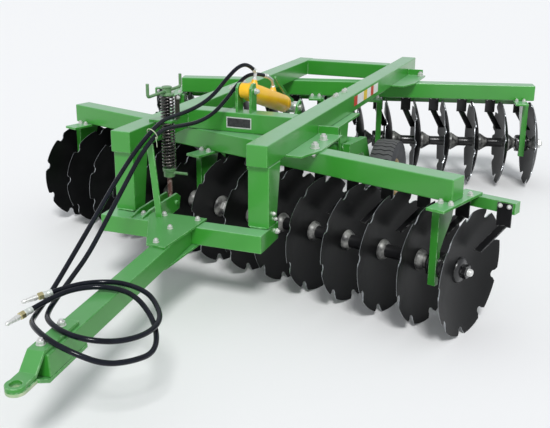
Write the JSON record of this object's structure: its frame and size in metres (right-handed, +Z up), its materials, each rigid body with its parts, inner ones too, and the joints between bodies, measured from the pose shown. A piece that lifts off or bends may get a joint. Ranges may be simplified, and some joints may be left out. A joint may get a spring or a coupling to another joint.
{
  "type": "disc harrow",
  "caption": "Trailed offset disc harrow: two angled gangs of notched discs under a twin-beam frame, with a long tongue and a hydraulically lowered transport wheel frame.",
  "frame": {"origin": "on the ground under the middle of the whole machine's box, loose hoses not counted", "axes": "+X to the machine's right-hand side as seen by someone standing at the hitch and looking at it, -Y towards the tractor, +Z up"},
  "size_m": [3.2808, 5.1386, 1.2088],
  "materials": {
    "green_paint": "glossy, weathered",
    "yellow_paint": "glossy",
    "black_paint": "satin",
    "disc_steel": "dark satin, bright worn rim",
    "spool_iron": "rough",
    "zinc_steel": "zinc plated",
    "screw_steel": "rusty",
    "tyre_rubber": "matt",
    "hose_rubber": "glossy"
  },
  "bodies": {
    "frame": {"hangers_front": "green_paint", "hangers_rear": "green_paint", "scrapers_front": "black_paint", "scrapers_rear": "black_paint", "beam_left": "green_paint", "beam_right": "green_paint", "cross_front": "green_paint", "cross_rear": "green_paint", "clamp_plates": "green_paint", "gang_beam_front": "green_paint", "gang_beam_rear": "green_paint", "posts": "green_paint", "draft_bar": "green_paint", "hitch_plates": "green_paint", "tongue": "green_paint", "hitch_eye": "green_paint", "screw_levers": "green_paint", "hose_stand": "green_paint", "screw_bracket": "green_paint", "screw": "screw_steel", "springs": "black_paint", "hinge_brackets": "green_paint", "ram_lugs": "green_paint", "hose_1": "hose_rubber", "coupling_1": "zinc_steel", "hose_2": "hose_rubber", "coupling_2": "zinc_steel"},
    "gang_front_left": {"discs_front_left": "disc_steel", "axle_front_left": "spool_iron"},
    "gang_front_right": {"discs_front_right": "disc_steel", "axle_front_right": "spool_iron"},
    "gang_rear_left": {"discs_rear_left": "disc_steel", "axle_rear_left": "spool_iron"},
    "gang_rear_right": {"discs_rear_right": "disc_steel", "axle_rear_right": "spool_iron"},
    "wheel_frame": {"wheel_frame": "green_paint"},
    "wheel_left": {"tyre_left": "tyre_rubber", "rim_left": "yellow_paint"},
    "wheel_right": {"tyre_right": "tyre_rubber", "rim_right": "yellow_paint"},
    "ram_barrel": {"ram_barrel": "yellow_paint"},
    "ram_rod": {"ram_rod": "zinc_steel", "stop_strap": "green_paint"}
  },
  "joints": [
    {"name": "gang_front_left_turn", "type": "hinge", "parent": "frame", "child": "gang_front_left", "pos_m": [-0.82258, 0.01173, 0.33], "axis": [0.9532, -0.3024, 0], "continuous": true},
    {"name": "gang_front_right_turn", "type": "hinge", "parent": "frame", "child": "gang_front_right", "pos_m": [0.73017, -0.48083, 0.33], "axis": [0.9532, -0.3024, 0], "continuous": true},
    {"name": "gang_rear_left_turn", "type": "hinge", "parent": "frame", "child": "gang_rear_left", "pos_m": [-0.73085, 1.65538, 0.33], "axis": [0.9646, 0.2639, 0], "continuous": true},
    {"name": "gang_rear_right_turn", "type": "hinge", "parent": "frame", "child": "gang_rear_right", "pos_m": [0.83173, 2.08286, 0.33], "axis": [0.9646, 0.2639, 0], "continuous": true},
    {"name": "wheel_lift", "type": "hinge", "parent": "frame", "child": "wheel_frame", "pos_m": [-0.04428, 0.31931, 0.635], "axis": [-1, 0, 0], "range_deg": [0, 33]},
    {"name": "wheel_left_turn", "type": "hinge", "parent": "wheel_frame", "child": "wheel_left", "pos_m": [-0.71428, 0.82931, 0.302], "axis": [1, 0, 0], "continuous": true},
    {"name": "wheel_right_turn", "type": "hinge", "parent": "wheel_frame", "child": "wheel_right", "pos_m": [0.62572, 0.82931, 0.302], "axis": [1, 0, 0], "continuous": true},
    {"name": "ram_swing", "type": "hinge", "parent": "frame", "child": "ram_barrel", "pos_m": [-0.01928, -0.12069, 1.047], "axis": [-1, 0, 0], "range_deg": [0, 13.03]},
    {"name": "ram_slide", "type": "slide", "parent": "ram_barrel", "child": "ram_rod", "axis": [0, 0.9565, -0.2917], "range_m": [0, 0.1224]}
  ],
  "couplings": [
    {"joint": "ram_swing", "follows": "wheel_lift", "ratio": 0.37972},
    {"joint": "ram_slide", "follows": "wheel_lift", "m_per_rad": 0.20556}
  ]
}
